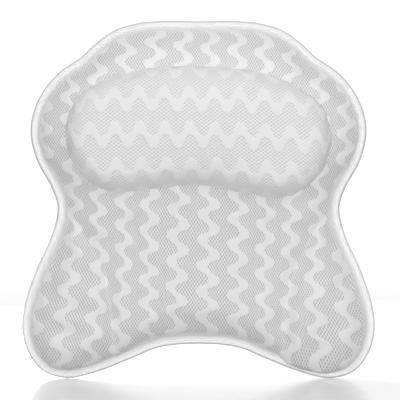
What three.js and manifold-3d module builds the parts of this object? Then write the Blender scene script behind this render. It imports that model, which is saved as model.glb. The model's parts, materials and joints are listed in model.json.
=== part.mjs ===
// A butterfly-shaped bath pillow, in millimetres: +Z is up, -Y is the front that the bather leans on.
// The origin is the middle of the six suction cups, in the plane of their rims, which is the tub's wall.
// Depths are measured from that plane towards the front, and heights from the foot of the lower lobes.
import * as THREE from "three";
import { mergeVertices } from "three/addons/utils/BufferGeometryUtils.js";
import Module from "manifold-3d";

const wasm = await Module();
wasm.setup();

// Overall shape
const pillowWidth = 380;
const pillowHeight = 385;
const frontPuff = 20;
const frontPuffRun = 38;
const backPuff = 9;
const backPuffRun = 30;
const originHeight = 178;

// Cloth and sewing
const meshThickness = 4;
const seamThickness = 1.8;
const seamMargin = 1.5;
const meshThickenRun = 12;
const bindingWidth = 7;
const bindingTape = 1.2;
const bindingRounding = 1.9;
const seatGap = 0.3;
const cutOverrun = 5;

// Raised headrest
const headrestWidth = 280;
const headrestHeight = 138;
const headrestDrop = 49.5;
const headrestTiltDegrees = 2;
const headrestPuff = 48;
const headrestBulgeHeight = 12;
const headrestTuck = 3;
const headrestFlankRun = 28;
const headrestCrown = 5.5;
const linerThickness = 1;

// Lower wings and the creases that part them
const wingPuff = 5;
const wingPuffRadius = 72;
const wingSide = 122;
const wingHeight = 78;
const padSplit = 1.5;
const creaseDepth = 5.5;
const creaseWidth = 13;

// Suction cups
const cupRadius = 26.5;
const cupLand = 2;
const cupHollowDepth = 7.5;
const cupHeight = 11.5;
const cupRimThickness = 1;
const cupNeckRadius = 4;
const cupHeadRadius = 7.2;
const cupHeadHeight = 4.5;
const tabLength = 10;
const tabWidth = 12;
const tabThickness = 1.6;
const tabLift = 0.6;

// Eyelets that hold the cups
const spinClearance = 0.4;
const eyeletWall = 2;
const eyeletFlange = 3;
const eyeletFlangeThickness = 1.2;
const eyeletLip = 1.1;
const eyeletLipThickness = 0.8;
const washerThickness = 1.2;
const washerBand = 3.4;
const recessClearance = 1;

// Hanging loop
const ribbonWidth = 12;
const ribbonThickness = 1.2;
const loopLength = 44;
const loopStitching = 6;
const loopGap = 6.5;
const patchWidth = 20;
const patchHeight = 14;
const patchDrop = 55;

// Counts
const bodySides = 68;
const headrestSides = 48;
const cupSides = 16;
const eyeletSides = 12;
const creaseSteps = 12;
const relaxPasses = 3;
const tabSides = 4;

// Depths that follow from the sizes above, from the tub's wall to the front
const eyeletDepth = cupHeight + spinClearance;
const backDepth = eyeletDepth + eyeletFlangeThickness + seatGap;
const backSeamDepth = backDepth + backPuff;
const bindingDepth = backSeamDepth + seamThickness + seatGap / 2;
const frontSeamDepth = bindingDepth + seatGap / 2 + seamThickness;
const frontDepth = frontSeamDepth + frontPuff;
const washerDepth = backDepth + meshThickness + seatGap;
const lipDepth = washerDepth + washerThickness + seatGap;
const headDepth = lipDepth + eyeletLipThickness + spinClearance;
const headrestDepth = frontDepth + seatGap;
const coverInset = bindingTape + seatGap;
const seamEnd = bindingWidth + seamMargin;

// Heights of the headrest's and the patch's lower edges, which are set from the pillow's top
const headrestFoot = pillowHeight - headrestDrop - headrestHeight;
const patchFoot = pillowHeight - patchDrop;

// Half of the pillow's outline, from the middle of the top edge round to the middle of the bottom edge,
// in shares of half the width and of the height
const outlineShares = [
  [0, 0.999],
  [0.21, 1],
  [0.352, 0.993],
  [0.477, 0.974],
  [0.579, 0.939],
  [0.67, 0.898],
  [0.787, 0.858],
  [0.88, 0.806],
  [0.939, 0.742],
  [0.953, 0.68],
  [0.914, 0.605],
  [0.837, 0.536],
  [0.8, 0.478],
  [0.831, 0.402],
  [0.919, 0.304],
  [0.985, 0.206],
  [1, 0.138],
  [0.965, 0.071],
  [0.88, 0.019],
  [0.744, 0],
  [0.568, 0.019],
  [0.386, 0.054],
  [0.224, 0.086],
  [0, 0.096],
];

// Half of the headrest's outline, in shares of half its width and of its height
const headrestShares = [
  [0, 1],
  [0.228, 0.989],
  [0.433, 0.958],
  [0.639, 0.896],
  [0.821, 0.804],
  [0.928, 0.701],
  [0.985, 0.563],
  [1, 0.44],
  [0.973, 0.294],
  [0.901, 0.16],
  [0.806, 0.072],
  [0.707, 0.018],
  [0.593, 0],
  [0.441, 0.015],
  [0.228, 0.049],
  [0, 0.072],
];

// The crease of the right half, in shares of half the pillow's width and of its height
const creaseShares = [
  [0.7, 0.45],
  [0.6, 0.36],
  [0.516, 0.262],
  [0.488, 0.163],
  [0.484, 0.06],
];

// The middles of each row's two cups, in shares of half the pillow's width and of its height
const cupRowShares = [
  ["upper", 0.484, 0.74],
  ["middle", 0.368, 0.462],
  ["lower", 0.642, 0.187],
];

const poleShare = 0.47;
const headrestPoleShare = 0.53;

function up(height) {
  return height - originHeight;
}

function point(x, depth, z) {
  return new THREE.Vector3(x, -depth, z);
}

// A closed polygon with evenly spaced corners, from half an outline and its mirror image
function closedOutline(half, halfWidth, height, sides) {
  const mirrored = half
    .slice(1, -1)
    .reverse()
    .map(([x, z]) => [-x, z]);
  const corners = [...half, ...mirrored].map(([x, z]) => point(x * halfWidth, 0, z * height));
  const curve = new THREE.CatmullRomCurve3(corners, true, "centripetal");
  return curve.getSpacedPoints(sides).slice(0, sides);
}

function pillowOutline(sides) {
  const outline = closedOutline(outlineShares, pillowWidth / 2, pillowHeight, sides);
  outline.forEach((p) => p.setZ(up(p.z)));
  return outline;
}

function headrestOutline(sides) {
  const outline = closedOutline(headrestShares, headrestWidth / 2, headrestHeight, sides);
  const middle = point(0, 0, headrestHeight / 2);
  const across = new THREE.Vector3(0, 1, 0);
  outline.forEach((p) => {
    p.sub(middle).applyAxisAngle(across, THREE.MathUtils.degToRad(headrestTiltDegrees)).add(middle);
    p.setZ(up(p.z + headrestFoot));
  });
  return outline;
}

// The direction that points into the outline at each corner
function inwardNormals(outline) {
  return outline.map((_, i) => {
    const before = outline[(i + outline.length - 1) % outline.length];
    const after = outline[(i + 1) % outline.length];
    const along = after.clone().sub(before).normalize();
    return new THREE.Vector3(-along.z, 0, along.x).negate();
  });
}

function insetRing(outline, normals, inset) {
  return outline.map((p, i) => p.clone().addScaledVector(normals[i], inset));
}

function towardsPole(ring, pole, share) {
  return ring.map((p) => p.clone().lerp(pole, share));
}

// How far a point lies inside the outline
function insetOf(outline, p) {
  const nearest = new THREE.Vector3();
  const flat = point(p.x, 0, p.z);
  const distances = outline.map((corner, i) => {
    const side = new THREE.Line3(corner, outline[(i + 1) % outline.length]);
    return side.closestPointToPoint(flat, true, nearest).distanceTo(flat);
  });
  return Math.min(...distances);
}

// A closed solid between two caps, each a list of rings from the rim inwards and a pole
function cappedSolid(front, back) {
  const sides = front.rings[0].length;
  const corners = [];
  const faces = [];
  const addCap = ({ rings, pole }, flip) => {
    const first = corners.length;
    rings.forEach((ring) => corners.push(...ring));
    const tip = corners.push(pole) - 1;
    const face = (a, b, c) => faces.push(...(flip ? [a, c, b] : [a, b, c]));
    for (let r = 0; r < rings.length; r += 1) {
      for (let i = 0; i < sides; i += 1) {
        const here = first + r * sides + i;
        const next = first + r * sides + ((i + 1) % sides);
        if (r + 1 < rings.length) {
          face(here, next, next + sides);
          face(here, next + sides, here + sides);
        } else {
          face(here, next, tip);
        }
      }
    }
    return first;
  };
  const frontRim = addCap(front, false);
  const backRim = addCap(back, true);
  for (let i = 0; i < sides; i += 1) {
    const j = (i + 1) % sides;
    faces.push(frontRim + j, frontRim + i, backRim + i);
    faces.push(frontRim + j, backRim + i, backRim + j);
  }
  return facingOut(geometryOf(corners, faces));
}

// A ring with the given cross-section, swept round the outline
function sweptRing(outline, section) {
  const normals = inwardNormals(outline);
  const sides = outline.length;
  const corners = section.flatMap(([inset, depth]) =>
    insetRing(outline, normals, inset).map((p) => point(p.x, depth, p.z)),
  );
  const faces = [];
  section.forEach((_, s) => {
    const row = s * sides;
    const nextRow = ((s + 1) % section.length) * sides;
    for (let i = 0; i < sides; i += 1) {
      const j = (i + 1) % sides;
      faces.push(row + i, row + j, nextRow + j, row + i, nextRow + j, nextRow + i);
    }
  });
  return facingOut(geometryOf(corners, faces));
}

function geometryOf(corners, faces) {
  const geometry = new THREE.BufferGeometry().setFromPoints(corners);
  geometry.setIndex(faces);
  return geometry;
}

// Turns the faces round if they point inwards
function facingOut(geometry) {
  const index = geometry.getIndex();
  const position = geometry.getAttribute("position");
  const corner = (i) => new THREE.Vector3().fromBufferAttribute(position, index.getX(i));
  let volume = 0;
  for (let i = 0; i < index.count; i += 3) {
    volume += corner(i).dot(corner(i + 1).cross(corner(i + 2)));
  }
  if (volume < 0) {
    for (let i = 0; i < index.count; i += 3) {
      const swapped = index.getX(i + 1);
      index.setX(i + 1, index.getX(i + 2));
      index.setX(i + 2, swapped);
    }
  }
  return geometry;
}

function bareGeometry(geometry) {
  const bare = geometry.clone();
  bare.deleteAttribute("normal");
  bare.deleteAttribute("uv");
  return bare;
}

function solidOf(geometry) {
  const merged = mergeVertices(bareGeometry(geometry));
  return new wasm.Manifold(
    new wasm.Mesh({
      numProp: 3,
      vertProperties: merged.getAttribute("position").array,
      triVerts: new Uint32Array(merged.getIndex().array),
    }),
  );
}

function geometryFrom(solid) {
  const mesh = solid.getMesh();
  const geometry = new THREE.BufferGeometry();
  geometry.setAttribute("position", new THREE.BufferAttribute(mesh.vertProperties, 3));
  geometry.setIndex(new THREE.BufferAttribute(mesh.triVerts, 1));
  return geometry;
}

function cut(geometry, cutters) {
  return geometryFrom(cutters.reduce((solid, c) => solid.subtract(solidOf(c)), solidOf(geometry)));
}

// Smooth steps and the rounded rise of a stuffed edge, all from 0 to 1
function smooth(share) {
  const s = THREE.MathUtils.clamp(share, 0, 1);
  return s * s * (3 - 2 * s);
}

function puffed(share) {
  const s = THREE.MathUtils.clamp(share, 0, 1);
  return Math.pow(1 - (1 - s) * (1 - s), 2 / 3);
}

// The pillow's body
const bodyOutline = pillowOutline(bodySides);
const bodyNormals = inwardNormals(bodyOutline);
const bodyPole = point(0, 0, up(poleShare * pillowHeight));
const seamRing = insetRing(bodyOutline, bodyNormals, seamEnd);
const creaseCorners = creaseShares.map(
  ([x, z]) => new THREE.Vector2((x * pillowWidth) / 2, up(z * pillowHeight)),
);
const crease = new THREE.SplineCurve(creaseCorners).getPoints(creaseSteps);

function coverThickness(inset) {
  return seamThickness + (meshThickness - seamThickness) * smooth((inset - seamEnd) / meshThickenRun);
}

function wingSwell(p) {
  const away = Math.hypot(Math.abs(p.x) - wingSide, p.z - up(wingHeight));
  return wingPuff * smooth(1 - away / wingPuffRadius);
}

function creaseDip(p) {
  const spot = point(Math.abs(p.x), 0, p.z);
  const distances = crease.slice(1).map((end, i) => {
    const start = crease[i];
    const side = new THREE.Line3(point(start.x, 0, start.y), point(end.x, 0, end.y));
    return side.closestPointToPoint(spot, true, new THREE.Vector3()).distanceTo(spot);
  });
  return creaseDepth * smooth(1 - Math.min(...distances) / creaseWidth);
}

function frontFace(p) {
  const inside = (insetOf(bodyOutline, p) - seamEnd) / frontPuffRun;
  return frontSeamDepth + frontPuff * puffed(inside) + (wingSwell(p) - creaseDip(p)) * smooth(inside);
}

function frontLining(p) {
  return frontFace(p) - coverThickness(insetOf(bodyOutline, p));
}

function backFace(p) {
  const inset = insetOf(bodyOutline, p);
  return backSeamDepth - backPuff * puffed((inset - seamEnd) / backPuffRun);
}

function backLining(p) {
  return backFace(p) + coverThickness(insetOf(bodyOutline, p));
}

// The stuffed part's rings, in shares of the way from the seam to the fold, and from past it to the pole
const faceEdgeShares = [0.09, 0.25, 0.5];
const faceInnerShares = [0.16, 0.5];
const liningEdgeShares = [0.09, 0.45];
const liningInnerShares = [0.3];

// Where the line from a corner to the pole crosses the crease of its side, as a share of the way
function creaseCrossing(from) {
  const start = new THREE.Vector2(Math.abs(from.x), from.z);
  const way = new THREE.Vector2(bodyPole.x, bodyPole.z).sub(start);
  for (let i = 0; i < crease.length - 1; i += 1) {
    const side = crease[i + 1].clone().sub(crease[i]);
    const gap = crease[i].clone().sub(start);
    const turn = way.cross(side);
    const along = gap.cross(way) / turn;
    if (along >= 0 && along <= 1) {
      return gap.cross(side) / turn;
    }
  }
  return undefined;
}

// How far in each spoke of the grid folds: at the crease where it crosses one, and eased towards it beside it
function foldShares() {
  const crossings = seamRing.map(creaseCrossing);
  let folds = seamRing.map(
    (from, i) => crossings[i] ?? (frontPuffRun + creaseWidth) / from.distanceTo(bodyPole),
  );
  for (let pass = 0; pass < relaxPasses; pass += 1) {
    const count = folds.length;
    folds = folds.map((_, i) => {
      const beside = folds[(i + 1) % count] + folds[(i + count - 1) % count];
      return crossings[i] ?? beside / 2;
    });
  }
  return folds;
}

// One ring follows the creases, with a ring on each side of it where the valley starts
function foldedRings(edgeShares, innerShares) {
  const folds = foldShares();
  const spokes = seamRing.map((from, i) => {
    const width = creaseWidth / from.distanceTo(bodyPole);
    const fold = folds[i];
    const before = Math.max(fold - width, fold / 2);
    const past = fold + width;
    return [
      ...edgeShares.map((share) => share * before),
      before,
      fold,
      past,
      ...innerShares.map((share) => past + share * (1 - past)),
    ];
  });
  return spokes[0].map((_, r) => seamRing.map((p, i) => p.clone().lerp(bodyPole, spokes[i][r])));
}

function bodyCap(rings, depthAt, shift = 0) {
  const laid = (p) => point(p.x, depthAt(p) + shift, p.z);
  return { rings: rings.map((ring) => ring.map(laid)), pole: laid(bodyPole) };
}

const flangeRings = [insetRing(bodyOutline, bodyNormals, coverInset), seamRing];
const frontFaceRings = foldedRings(faceEdgeShares, faceInnerShares);
const frontLiningRings = foldedRings(liningEdgeShares, liningInnerShares);

// The back has no creases, so its rings keep their distance from the seam until they near the pole
const backInsetShares = [0.09, 0.45, 1];
const backInnerShare = 0.45;
const backInsetRings = backInsetShares.map((share) =>
  insetRing(bodyOutline, bodyNormals, seamEnd + share * backPuffRun),
);
const lastInsetRing = backInsetRings[backInsetRings.length - 1];
const backRings = [...backInsetRings, towardsPole(lastInsetRing, bodyPole, backInnerShare)];

function makeFrontCover() {
  return cappedSolid(
    bodyCap([...flangeRings, ...frontFaceRings], frontFace),
    bodyCap([...flangeRings, ...frontLiningRings], frontLining),
  );
}

// A cylinder along the depth, from one depth to another
function plug(radius, fromDepth, toDepth, x, z, sides) {
  const cylinder = new THREE.CylinderGeometry(radius, radius, toDepth - fromDepth, sides);
  return cylinder.translate(x, -(fromDepth + toDepth) / 2, z);
}

const cupPlaces = cupRowShares.flatMap(([row, sideShare, heightShare]) => {
  const side = (sideShare * pillowWidth) / 2;
  const z = up(heightShare * pillowHeight);
  return [
    { name: row + "_left", x: -side, z },
    { name: row + "_right", x: side, z },
  ];
});

const boreRadius = cupNeckRadius + spinClearance;
const barrelRadius = boreRadius + eyeletWall;
const coverHoleRadius = barrelRadius + seatGap;
const washerRadius = coverHoleRadius + washerBand;

function makeBackCover() {
  const rings = [...flangeRings, ...backRings];
  const cover = cappedSolid(bodyCap(rings, backLining), bodyCap(rings, backFace));
  const holes = cupPlaces.map(({ x, z }) =>
    plug(coverHoleRadius, backDepth - cutOverrun, backDepth + meshThickness + cutOverrun, x, z, eyeletSides),
  );
  return cut(cover, holes);
}

function makeEdgeBinding() {
  const inside = seatGap / 2 + seamThickness + seatGap;
  const outside = inside + bindingTape;
  const half = [
    [bindingTape, inside],
    [bindingWidth, inside],
    [bindingWidth, outside],
    [bindingRounding, outside],
    [0, outside - bindingRounding],
  ];
  const mirrored = half.map(([inset, reach]) => [inset, -reach]).reverse();
  const section = [...half, ...mirrored].map(([inset, reach]) => [inset, bindingDepth + reach]);
  return sweptRing(bodyOutline, section);
}

// The space between the covers, less the recesses for the washers and the cups' heads
function bodyFilling() {
  const filling = cappedSolid(
    bodyCap(frontLiningRings, frontLining, -seatGap),
    bodyCap(backRings, backLining, seatGap),
  );
  const radius = Math.max(washerRadius, cupHeadRadius) + recessClearance;
  const deep = headDepth + cupHeadHeight + recessClearance;
  const recesses = cupPlaces.map(({ x, z }) => plug(radius, backDepth, deep, x, z, eyeletSides));
  return cut(filling, recesses);
}

// Everything outside the crease on one side, set off from the crease by the given shift
function wingRegion(mirror, shift) {
  const top = crease[0];
  const foot = crease[crease.length - 1];
  const far = pillowWidth;
  const corners = [
    new THREE.Vector2(far, top.y + far - top.x),
    ...crease.map((p) => new THREE.Vector2(p.x + shift, p.y)),
    new THREE.Vector2(foot.x + shift, -pillowHeight),
    new THREE.Vector2(far, -pillowHeight),
  ];
  corners.forEach((p) => p.setX(mirror * p.x));
  const block = new THREE.ExtrudeGeometry(new THREE.Shape(corners), {
    depth: pillowWidth,
    bevelEnabled: false,
  });
  return block.rotateX(Math.PI / 2);
}

function makeCentrePad(filling) {
  return cut(filling, [wingRegion(-1, -padSplit / 2), wingRegion(1, -padSplit / 2)]);
}

function makeWingPad(filling, mirror) {
  return geometryFrom(solidOf(filling).intersect(solidOf(wingRegion(mirror, padSplit / 2))));
}

// The headrest: rings that bulge out from the seam, round over and run in to a crown
const headrestEdge = headrestOutline(headrestSides);
const headrestNormals = inwardNormals(headrestEdge);
const headrestPole = point(0, 0, up(headrestFoot + headrestPoleShare * headrestHeight));
const faceFlankDegrees = [22, 42, 62, 80];
const liningFlankDegrees = [42, 80];
const faceCrownShares = [0.3, 0.65];
const liningCrownShares = [0.5];

function headrestCap(skin, foot, flankDegrees, crownShares) {
  const shoulder = headrestPuff - headrestBulgeHeight - headrestCrown;
  const levels = [
    { inset: headrestTuck + skin, rise: foot },
    { inset: skin, rise: headrestBulgeHeight },
    ...flankDegrees.map((degrees) => {
      const turn = THREE.MathUtils.degToRad(degrees);
      return {
        inset: skin + (headrestFlankRun - skin) * (1 - Math.cos(turn)),
        rise: headrestBulgeHeight + (shoulder - skin) * Math.sin(turn),
      };
    }),
  ];
  const rings = levels.map(({ inset, rise }) =>
    insetRing(headrestEdge, headrestNormals, inset).map((p) => point(p.x, headrestDepth + rise, p.z)),
  );
  const last = levels[levels.length - 1];
  const flat = rings[rings.length - 1];
  const top = headrestPuff - skin;
  const rising = (share) => last.rise + (top - last.rise) * (1 - (1 - share) * (1 - share));
  crownShares.forEach((share) => {
    const ring = towardsPole(flat, headrestPole, share);
    rings.push(ring.map((p) => point(p.x, headrestDepth + rising(share), p.z)));
  });
  return { rings, pole: point(headrestPole.x, headrestDepth + top, headrestPole.z) };
}

function makeHeadrestCover() {
  return cappedSolid(
    headrestCap(0, 0, faceFlankDegrees, faceCrownShares),
    headrestCap(meshThickness, 0, liningFlankDegrees, liningCrownShares),
  );
}

function flatCap(inset, depth) {
  const ring = insetRing(headrestEdge, headrestNormals, inset);
  return {
    rings: [ring.map((p) => point(p.x, depth, p.z))],
    pole: point(headrestPole.x, depth, headrestPole.z),
  };
}

function makeHeadrestLiner() {
  const inset = headrestTuck + meshThickness + seatGap;
  return cappedSolid(flatCap(inset, headrestDepth + linerThickness), flatCap(inset, headrestDepth));
}

function makeHeadrestPad() {
  const skin = meshThickness + seatGap;
  const foot = linerThickness + seatGap;
  return cappedSolid(
    headrestCap(skin, foot, liningFlankDegrees, liningCrownShares),
    flatCap(headrestTuck + skin, headrestDepth + foot),
  );
}

// Corners of the cup's dome, in shares of its radius inside the land and of its height
const hollowShares = [
  [0, 1],
  [0.45, 0.88],
  [0.78, 0.5],
];
const domeShares = [
  [0.8, 0.47],
  [0.46, 0.86],
];

function makeSuctionCup() {
  const hollowRadius = cupRadius - cupLand;
  const head = headDepth + cupHeadHeight;
  const profile = [
    ...hollowShares.map(([r, h]) => [r * hollowRadius, h * cupHollowDepth]),
    [hollowRadius, 0],
    [cupRadius, 0],
    [cupRadius, cupRimThickness],
    ...domeShares.map(([r, h]) => [r * cupRadius, h * cupHeight]),
    [cupNeckRadius, cupHeight],
    [cupNeckRadius, headDepth],
    [cupHeadRadius, headDepth],
    [cupHeadRadius, headDepth + cupHeadHeight / 2],
    [cupNeckRadius, head],
    [0, head],
  ];
  const dome = latheAbout(profile, cupSides);
  return geometryFrom(solidOf(dome).add(solidOf(pullTab())));
}

// A solid of revolution about the depth axis, from radii and depths
function latheAbout(profile, sides) {
  const corners = profile.map(([radius, depth]) => new THREE.Vector2(radius, -depth));
  return facingOut(mergeVertices(bareGeometry(new THREE.LatheGeometry(corners, sides))));
}

// The tongue at the rim that lifts the cup off the wall
function pullTab() {
  const inner = cupRadius - cupLand;
  const end = cupRadius + tabLength - tabWidth / 2;
  const tongue = new THREE.Shape();
  tongue.moveTo(-tabWidth / 2, -inner);
  tongue.lineTo(-tabWidth / 2, -end);
  tongue.absarc(0, -end, tabWidth / 2, Math.PI, 2 * Math.PI, false);
  tongue.lineTo(tabWidth / 2, -inner);
  const plate = new THREE.ExtrudeGeometry(tongue, {
    depth: tabThickness,
    bevelEnabled: false,
    curveSegments: tabSides,
  });
  return plate.rotateX(Math.PI / 2).translate(0, -tabLift, 0);
}

function makeEyelet() {
  const flangeRadius = barrelRadius + eyeletFlange;
  const lipRadius = barrelRadius + eyeletLip;
  const end = lipDepth + eyeletLipThickness;
  const profile = [
    [boreRadius, eyeletDepth],
    [flangeRadius, eyeletDepth],
    [flangeRadius, eyeletDepth + eyeletFlangeThickness],
    [barrelRadius, eyeletDepth + eyeletFlangeThickness],
    [barrelRadius, lipDepth],
    [lipRadius, lipDepth],
    [lipRadius, end],
    [boreRadius, end],
    [boreRadius, eyeletDepth],
  ];
  return latheAbout(profile, eyeletSides);
}

function makeWasher() {
  const front = washerDepth + washerThickness;
  const profile = [
    [coverHoleRadius, washerDepth],
    [washerRadius, washerDepth],
    [washerRadius, front],
    [coverHoleRadius, front],
    [coverHoleRadius, washerDepth],
  ];
  return latheAbout(profile, eyeletSides);
}

// The hanging loop's ribbon leaves the patch doubled, so both are two ribbons thick
const patchThickness = 2 * ribbonThickness;
const loopHingeDepth = backDepth - seatGap - ribbonThickness;
const loopHingeHeight = patchFoot - seatGap - ribbonThickness;

function makeLoopPatch() {
  const patch = new THREE.BoxGeometry(patchWidth, patchThickness, patchHeight);
  return patch.translate(0, -loopHingeDepth, up(patchFoot) + patchHeight / 2);
}

// How far the loop's free side stands off, in shares of its length and of its gap, from the patch down
const loopShares = [
  [0.32, 0.62],
  [0.52, 1],
  [0.76, 0.96],
  [0.93, 0.6],
];

function makeHangingLoop() {
  const tip = ribbonThickness - loopLength;
  const band = new THREE.Shape();
  band.absarc(0, 0, ribbonThickness, 0, Math.PI, false);
  band.lineTo(-ribbonThickness, tip);
  band.lineTo(ribbonThickness, tip - ribbonThickness);
  loopShares.toReversed().forEach(([l, g]) => band.lineTo(g * loopGap + ribbonThickness, -l * loopLength));
  band.lineTo(ribbonThickness, -loopStitching);
  const slot = new THREE.Path();
  slot.moveTo(0, -loopStitching - ribbonThickness);
  loopShares.forEach(([l, g]) => slot.lineTo(g * loopGap, -l * loopLength));
  slot.lineTo(ribbonThickness, tip);
  slot.lineTo(0, tip + ribbonThickness);
  band.holes.push(slot);
  const ribbon = new THREE.ExtrudeGeometry(band, {
    depth: ribbonWidth,
    bevelEnabled: false,
    curveSegments: tabSides,
  });
  ribbon.translate(0, 0, -ribbonWidth / 2);
  const away = new THREE.Vector3(0, 1, 0);
  const upward = new THREE.Vector3(0, 0, 1);
  const across = new THREE.Vector3(1, 0, 0);
  return ribbon.applyMatrix4(new THREE.Matrix4().makeBasis(away, upward, across));
}

// Materials
function material(color, roughness) {
  return new THREE.MeshStandardMaterial({ color, roughness, metalness: 0 });
}

const meshCloth = material(0xe6e6e6, 0.9);
const tapeCloth = material(0xf0f0f0, 0.8);
const foam = material(0xf4f4f2, 1);
const clearVinyl = material(0xe9eeee, 0.2);
const whitePlastic = material(0xf2f2f2, 0.45);

const pillow = new THREE.Group();

function place(name, geometry, finish, x = 0, depth = 0, z = 0) {
  const mesh = new THREE.Mesh(geometry, finish);
  mesh.name = name;
  mesh.position.copy(point(x, depth, z));
  pillow.add(mesh);
}

const stuffing = bodyFilling();
place("front_cover", makeFrontCover(), meshCloth);
place("back_cover", makeBackCover(), meshCloth);
place("edge_binding", makeEdgeBinding(), tapeCloth);
place("centre_pad", makeCentrePad(stuffing), foam);
place("left_wing_pad", makeWingPad(stuffing, -1), foam);
place("right_wing_pad", makeWingPad(stuffing, 1), foam);
place("headrest_cover", makeHeadrestCover(), meshCloth);
place("headrest_pad", makeHeadrestPad(), foam);
place("headrest_liner", makeHeadrestLiner(), foam);

cupPlaces.forEach(({ name, x, z }) => {
  place("suction_cup_" + name, makeSuctionCup(), clearVinyl, x, 0, z);
  place("eyelet_" + name, makeEyelet(), whitePlastic, x, 0, z);
  place("washer_" + name, makeWasher(), whitePlastic, x, 0, z);
});

place("loop_patch", makeLoopPatch(), tapeCloth);
place("hanging_loop", makeHangingLoop(), tapeCloth, 0, loopHingeDepth, up(loopHingeHeight));

export default pillow;
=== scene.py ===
import json
import math

import bmesh
import bpy
import numpy as np
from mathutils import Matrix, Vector
from mathutils.geometry import delaunay_2d_cdt


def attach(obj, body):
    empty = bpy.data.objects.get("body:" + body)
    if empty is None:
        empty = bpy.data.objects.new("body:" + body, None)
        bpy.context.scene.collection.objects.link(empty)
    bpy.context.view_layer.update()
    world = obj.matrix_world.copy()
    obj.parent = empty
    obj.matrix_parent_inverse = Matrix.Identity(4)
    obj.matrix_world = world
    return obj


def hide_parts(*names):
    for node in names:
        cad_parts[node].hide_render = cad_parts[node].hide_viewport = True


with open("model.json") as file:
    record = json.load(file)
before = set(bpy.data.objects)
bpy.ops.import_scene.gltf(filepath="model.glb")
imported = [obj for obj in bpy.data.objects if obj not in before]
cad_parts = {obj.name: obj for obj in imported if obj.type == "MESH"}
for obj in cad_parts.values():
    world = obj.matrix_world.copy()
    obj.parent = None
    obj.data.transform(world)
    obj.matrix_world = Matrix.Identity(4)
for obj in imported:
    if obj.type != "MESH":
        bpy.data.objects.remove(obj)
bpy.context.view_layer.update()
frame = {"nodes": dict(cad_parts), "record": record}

# Sizes are in millimetres until a mesh is made. +Z is up and -Y is the front.
# Depths are measured from the tub's wall towards the front, and heights from the foot of the lobes.
MM = 0.001

# Overall shape
PILLOW_WIDTH = 380
PILLOW_HEIGHT = 385
ORIGIN_HEIGHT = 178
FRONT_PUFF = 20
FRONT_PUFF_RUN = 31
FRONT_ROUNDNESS = 0.78
BACK_PUFF = 9
BACK_PUFF_RUN = 30

# Cloth and sewing
MESH_THICKNESS = 4
SEAM_THICKNESS = 1.8
SEAM_END = 8.5
COVER_INSET = 1.5
BINDING_WIDTH = 6.3
BINDING_TAPE = 1.2
BINDING_JOIN = [152.6, -14]
BINDING_LAP = 22
FOLD_SHADE_RUN = 1.6
FOLD_SHADE_END = 2.24
PUCKER_HEIGHT = 0.12
PUCKER_LENGTHS = [7.3, 11.9, 19.7]
EDGE_WANDER = 0.3
EDGE_WANDER_LENGTHS = [11.3, 17.9, 41]
LAP_RISE_SHARE = 0.8
RIDGE_SHIFT_SHARE = 0.11
BINDING_NARROWING = [-172, -75]
NARROWING_RUN = 100
NARROWING_SHARE = 0.15
FOOT_NARROWING_SHARE = 0.1
FOOT_ROLL_SHARE = 0.62
FOOT_STEEPNESS = 1.5
SEAT_GAP = 0.3
SEAM_FADE = 1
BAND_RELIEF = 0.5
# Over this run from the seam the holes open and the cloth's painted shade along the seam fades
MARGIN = 6
STITCH_PITCH = 2.6
THREAD_RADIUS = 0.22
THREAD_LIFT = 0.15

# Raised headrest
HEADREST_WIDTH = 280
HEADREST_HEIGHT = 138
HEADREST_DROP = 49.5
HEADREST_TILT_DEGREES = 2
HEADREST_PUFF = 48
HEADREST_BULGE_HEIGHT = 12
HEADREST_TUCK = 2
HEADREST_FLANK_RUN = 22
HEADREST_CROWN = 5.5
HEADREST_GATHER = 1.4
GATHER_LENGTHS = [17, 26, 37]
HEADREST_PINCH = 0.9
HEADREST_PINCH_RUN = 4.5
HEADREST_SINK = 0.5
HEADREST_HIDDEN_DEPTH = 8

# Lower wings, the creases that part them and the softer folds inside the creases
WING_PUFF = 5
WING_PUFF_RADIUS = 72
WING_SIDE = 122
WING_HEIGHT = 78
SAG = 1.8
SAG_RISE = 7.5
SAG_INSET = 38
OVERHANG = 8
OVERHANG_FOOT_SHARE = 0.7
OVERHANG_SIDES = [86, 97, 112, 172]
OVERHANG_HEIGHT = 60
CREASE_DEPTH = 4.8
CREASE_WIDTH = 13
CREASE_FOLD_DEPTH = 1.7
CREASE_FOLD_WIDTH = 4.5
FOLD_DEPTH = 1.6
FOLD_WIDTH = 11
LUMP_HEIGHT = 1.8
LUMP_LENGTHS = [34, 41, 47, 58, 66, 79]

# Suction cups and eyelets, the cups' tabs and the ribs on them
CUP_RADIUS = 26.5
CUP_LAND = 2
CUP_HOLLOW_DEPTH = 7.5
CUP_HEIGHT = 11.5
CUP_RIM_THICKNESS = 1
CUP_NECK_RADIUS = 4
CUP_HEAD_RADIUS = 7.2
CUP_HEAD_HEIGHT = 4.5
TAB_LENGTH = 10
TAB_WIDTH = 12
TAB_THICKNESS = 1.6
TAB_LIFT = 0.6
TAB_RIBS = 3
TAB_RIB_PITCH = 1.9
TAB_RIB_GAP = 3.5
TAB_RIB_WIDTH = 8
TAB_RIB_THICKNESS = 0.8
TAB_RIB_RISE = 0.3
TAB_RIB_SINK = 0.1
SPIN_CLEARANCE = 0.4
EYELET_WALL = 2
EYELET_FLANGE = 3
EYELET_FLANGE_THICKNESS = 1.2
EYELET_LIP = 1.1
EYELET_LIP_THICKNESS = 0.8
WASHER_THICKNESS = 1.2

# How far the edges of the small parts are eased
CUP_EASE = 0.3
CUP_HEAD_EASE = 0.4
CUP_HEAD_TAPER = 1
CUP_NECK_STEP = 0.1
TAB_EASE = 0.35
RIB_EASE = 0.1
BORE_EASE = 0.4
LIP_EASE = 0.3
FLANGE_EASES = [[0.9, 0], [0.3, 0.2], [0, 0.6]]
PATCH_EASE = 0.25

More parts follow.
